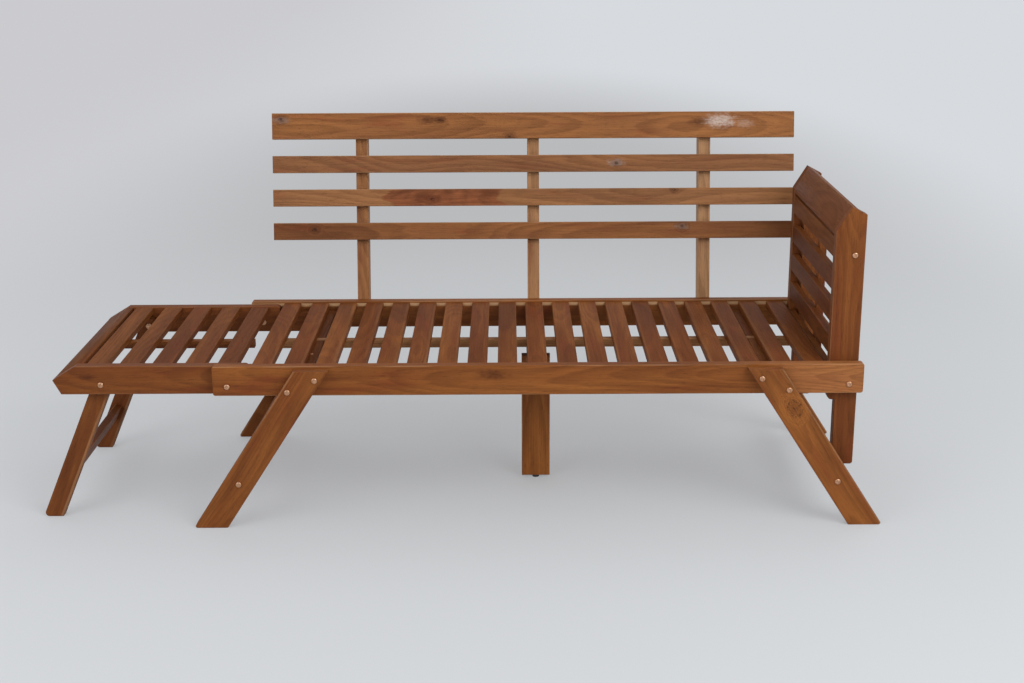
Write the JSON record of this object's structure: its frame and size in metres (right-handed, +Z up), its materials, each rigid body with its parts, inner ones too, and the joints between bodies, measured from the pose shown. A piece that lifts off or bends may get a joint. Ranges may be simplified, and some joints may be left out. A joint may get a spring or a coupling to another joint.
{
  "type": "convertible slatted bench",
  "caption": "Slatted wooden bench with a slatted backrest; each end arm stands up as an armrest or folds down on its own legs to lengthen the seat into a daybed.",
  "frame": {"origin": "on the floor, at the middle of the face that the centre leg's glide stands on", "axes": "+X along the bench to the sitter's left, -Y to the front of the seat, +Z up"},
  "size_m": [1.7465, 0.6821, 0.7701],
  "materials": {
    "rails": "oiled",
    "legs": "oiled",
    "seat_slats": "oiled",
    "back_slats": "oiled",
    "hardware": "yellow zinc plated",
    "glide": "matt black"
  },
  "bodies": {
    "frame": {"back_rail": "rails", "back_slat_1": "back_slats", "back_slat_2": "back_slats", "back_slat_3": "back_slats", "back_slat_4": "back_slats", "centre_beam": "rails", "centre_glide": "glide", "centre_leg": "legs", "centre_rail": "rails", "centre_upright": "rails", "front_rail": "rails", "left_back_leg": "legs", "left_cross_member": "rails", "left_front_leg": "legs", "left_leg_stretcher": "legs", "left_upright": "rails", "leg_bolts": "hardware", "right_back_leg": "legs", "right_cross_member": "rails", "right_front_leg": "legs", "right_leg_stretcher": "legs", "right_upright": "rails", "seat_slat_centre": "seat_slats", "seat_slat_left_9": "seat_slats", "seat_slat_right_9": "seat_slats", "seat_slats_left_1_2": "seat_slats", "seat_slats_left_3_4": "seat_slats", "seat_slats_left_5_6": "seat_slats", "seat_slats_left_7_8": "seat_slats", "seat_slats_right_1_2": "seat_slats", "seat_slats_right_3_4": "seat_slats", "seat_slats_right_5_6": "seat_slats", "seat_slats_right_7_8": "seat_slats", "upright_bolts": "hardware"},
    "left_arm": {"left_arm_back_rail": "rails", "left_arm_cap": "rails", "left_arm_centre_rail": "rails", "left_arm_front_rail": "rails", "left_arm_pivot_bolts": "hardware", "left_arm_pivot_nuts": "hardware", "left_arm_slats": "seat_slats"},
    "left_legs": {"left_arm_back_leg": "legs", "left_arm_front_leg": "legs", "left_arm_leg_bolts": "hardware", "left_arm_leg_nuts": "hardware", "left_arm_leg_stretcher": "legs"},
    "right_arm": {"right_arm_back_rail": "rails", "right_arm_cap": "rails", "right_arm_centre_rail": "rails", "right_arm_front_rail": "rails", "right_arm_pivot_bolts": "hardware", "right_arm_pivot_nuts": "hardware", "right_arm_slats": "seat_slats"},
    "right_legs": {"right_arm_back_leg": "legs", "right_arm_front_leg": "legs", "right_arm_leg_bolts": "hardware", "right_arm_leg_nuts": "hardware", "right_arm_leg_stretcher": "legs"}
  },
  "joints": [
    {"name": "left_arm_fold", "type": "hinge", "parent": "frame", "child": "left_arm", "pos_m": [-0.631, 0, 0.3], "axis": [0, 1, 0], "range_deg": [0, 90]},
    {"name": "left_legs_fold", "type": "hinge", "parent": "left_arm", "child": "left_legs", "pos_m": [-0.893, 0, 0.298], "axis": [0, -1, 0], "range_deg": [0, 113.3]},
    {"name": "right_arm_fold", "type": "hinge", "parent": "frame", "child": "right_arm", "pos_m": [0.631, 0, 0.3], "axis": [0, 1, 0], "range_deg": [0, 90]},
    {"name": "right_legs_fold", "type": "hinge", "parent": "right_arm", "child": "right_legs", "pos_m": [0.633, 0, 0.562], "axis": [0, -1, 0], "range_deg": [0, 113.3]}
  ]
}
